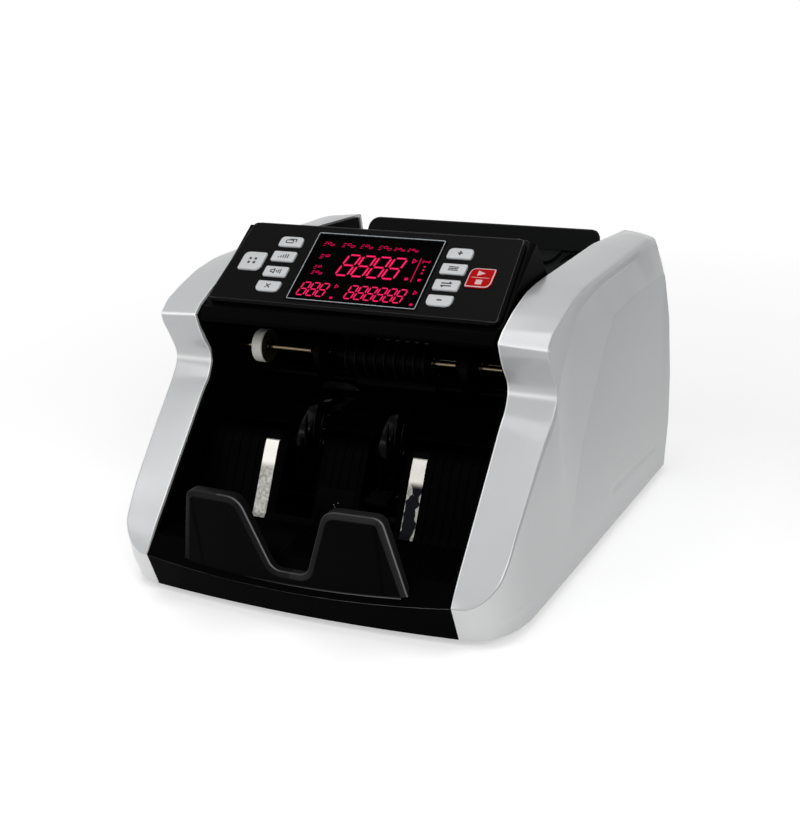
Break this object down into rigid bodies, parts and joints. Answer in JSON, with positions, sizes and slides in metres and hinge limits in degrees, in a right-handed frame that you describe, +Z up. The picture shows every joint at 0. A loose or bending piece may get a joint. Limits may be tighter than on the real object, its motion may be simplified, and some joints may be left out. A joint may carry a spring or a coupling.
{
  "type": "banknote counter",
  "caption": "Tabletop banknote counter with a rear hopper, sloping key panel and display, driven rollers, bladed stacker wheels and a notched front stop plate.",
  "frame": {"origin": "middle of the footprint, on the ground plane under the feet", "axes": "+X to the machine's right as seen from behind it, so to the right of a person facing its front; +Y from the front (stacker) to the rear (hopper); +Z up"},
  "size_m": [0.245, 0.2991, 0.19],
  "materials": {
    "silver_shell": "satin silver paint-look moulding",
    "black_body": "fine-grained black moulding",
    "stop_plate": "black moulding with a polished edge",
    "frame_steel": "semi-gloss black paint",
    "panel_black": "fine-grained dark moulding",
    "display_glass": "dark polished window",
    "bezel": "satin grey",
    "display_unit": "populated board",
    "key_grey": "satin light grey",
    "key_red": "satin red",
    "shaft_steel": "ground, warm tint",
    "wear_steel": "bright rolled",
    "rubber": "matte",
    "wheel_nylon": "natural nylon",
    "gloss_black": "polished",
    "drive_plastic": "satin",
    "motor_case": "zinc plated",
    "transformer_core": "varnished laminations"
  },
  "bodies": {
    "machine": {"base_tray": "black_body", "display_bezel": "bezel", "display_module": "display_unit", "display_window": "display_glass", "drive_belt": "rubber", "drive_motor": "motor_case", "foot_front_left": "rubber", "foot_front_right": "rubber", "foot_rear_left": "rubber", "foot_rear_right": "rubber", "front_stop_plate": "stop_plate", "head_housing": "black_body", "hopper_back_plate": "panel_black", "hopper_floor": "black_body", "key_board": "display_unit", "left_frame_plate": "frame_steel", "left_side_cover": "silver_shell", "main_board": "display_unit", "note_chute": "black_body", "panel_fascia": "panel_black", "pocket_sensor": "gloss_black", "power_inlet": "drive_plastic", "rear_cover": "black_body", "right_frame_plate": "frame_steel", "right_side_cover": "silver_shell", "sensor_bar": "gloss_black", "separator_bridge": "black_body", "stacker_belt": "rubber", "stacker_tray": "black_body", "transformer": "transformer_core", "wear_strip_left": "wear_steel", "wear_strip_right": "wear_steel"},
    "transport": {"transport_shaft": "shaft_steel", "idler_wheel": "wheel_nylon", "transport_roller": "rubber", "side_roller_left": "drive_plastic", "side_roller_right": "drive_plastic", "transport_pulley": "drive_plastic"},
    "feed": {"feed_shaft": "shaft_steel", "feed_roller_left": "rubber", "feed_roller_right": "rubber"},
    "pinch": {"pinch_shaft": "shaft_steel"},
    "stacker": {"stacker_shaft": "shaft_steel", "stacker_wheel_left": "gloss_black", "stacker_wheel_right": "gloss_black"},
    "motor_rotor": {"motor_pulley": "drive_plastic"},
    "rocker": {"power_rocker": "gloss_black"},
    "gap_knob": {"gap_adjust_knob": "drive_plastic"},
    "guide_left": {"hopper_guide_left": "black_body"},
    "guide_right": {"hopper_guide_right": "black_body"},
    "key_currency": {"key_currency": "key_grey"},
    "key_value": {"key_value": "key_grey"},
    "key_voice": {"key_voice": "key_grey"},
    "key_clear": {"key_clear": "key_grey"},
    "key_function": {"key_function": "key_grey"},
    "key_plus": {"key_plus": "key_grey"},
    "key_mode": {"key_mode": "key_grey"},
    "key_auto": {"key_auto": "key_grey"},
    "key_minus": {"key_minus": "key_grey"},
    "key_start": {"key_start": "key_red"}
  },
  "joints": [
    {"name": "transport_spin", "type": "hinge", "parent": "machine", "child": "transport", "pos_m": [0, -0.03498, 0.12099], "axis": [1, 0, 0], "continuous": true},
    {"name": "feed_spin", "type": "hinge", "parent": "machine", "child": "feed", "pos_m": [0, 0.03196, 0.11092], "axis": [1, 0, 0], "continuous": true},
    {"name": "pinch_spin", "type": "hinge", "parent": "machine", "child": "pinch", "pos_m": [0, -0.02601, 0.10301], "axis": [1, 0, 0], "continuous": true},
    {"name": "stacker_spin", "type": "hinge", "parent": "machine", "child": "stacker", "pos_m": [0, -0.05502, 0.0704], "axis": [1, 0, 0], "continuous": true},
    {"name": "motor_spin", "type": "hinge", "parent": "machine", "child": "motor_rotor", "pos_m": [0, 0.06279, 0.04469], "axis": [1, 0, 0], "continuous": true},
    {"name": "key_currency_press", "type": "slide", "parent": "machine", "child": "key_currency", "axis": [0, 0.5305, -0.8477], "range_m": [0, 0.001], "stiffness_N_per_m": 500},
    {"name": "key_value_press", "type": "slide", "parent": "machine", "child": "key_value", "axis": [0, 0.5305, -0.8477], "range_m": [0, 0.001], "stiffness_N_per_m": 500},
    {"name": "key_voice_press", "type": "slide", "parent": "machine", "child": "key_voice", "axis": [0, 0.5305, -0.8477], "range_m": [0, 0.001], "stiffness_N_per_m": 500},
    {"name": "key_clear_press", "type": "slide", "parent": "machine", "child": "key_clear", "axis": [0, 0.5305, -0.8477], "range_m": [0, 0.001], "stiffness_N_per_m": 500},
    {"name": "key_function_press", "type": "slide", "parent": "machine", "child": "key_function", "axis": [0, 0.5305, -0.8477], "range_m": [0, 0.001], "stiffness_N_per_m": 500},
    {"name": "key_plus_press", "type": "slide", "parent": "machine", "child": "key_plus", "axis": [0, 0.5305, -0.8477], "range_m": [0, 0.001], "stiffness_N_per_m": 500},
    {"name": "key_mode_press", "type": "slide", "parent": "machine", "child": "key_mode", "axis": [0, 0.5305, -0.8477], "range_m": [0, 0.001], "stiffness_N_per_m": 500},
    {"name": "key_auto_press", "type": "slide", "parent": "machine", "child": "key_auto", "axis": [0, 0.5305, -0.8477], "range_m": [0, 0.001], "stiffness_N_per_m": 500},
    {"name": "key_minus_press", "type": "slide", "parent": "machine", "child": "key_minus", "axis": [0, 0.5305, -0.8477], "range_m": [0, 0.001], "stiffness_N_per_m": 500},
    {"name": "key_start_press", "type": "slide", "parent": "machine", "child": "key_start", "axis": [0, 0.5305, -0.8477], "range_m": [0, 0.001], "stiffness_N_per_m": 500},
    {"name": "rocker_tilt", "type": "hinge", "parent": "machine", "child": "rocker", "pos_m": [0.02221, 0.1458, 0.0491], "axis": [1, 0, 0], "range_deg": [-9, 9]},
    {"name": "gap_knob_turn", "type": "hinge", "parent": "machine", "child": "gap_knob", "pos_m": [0, 0.02127, 0.16337], "axis": [0, 0, 1], "range_deg": [-170, 170]},
    {"name": "guide_left_slide", "type": "slide", "parent": "machine", "child": "guide_left", "axis": [1, 0, 0], "range_m": [0, 0.022]},
    {"name": "guide_right_slide", "type": "slide", "parent": "machine", "child": "guide_right", "axis": [-1, 0, 0], "range_m": [0, 0.022]}
  ],
  "couplings": [
    {"joint": "feed_spin", "follows": "transport_spin", "ratio": 0.72727},
    {"joint": "motor_spin", "follows": "transport_spin", "ratio": 1.1429},
    {"joint": "stacker_spin", "follows": "transport_spin", "ratio": 0.33333},
    {"joint": "pinch_spin", "follows": "transport_spin", "ratio": -1.58}
  ]
}
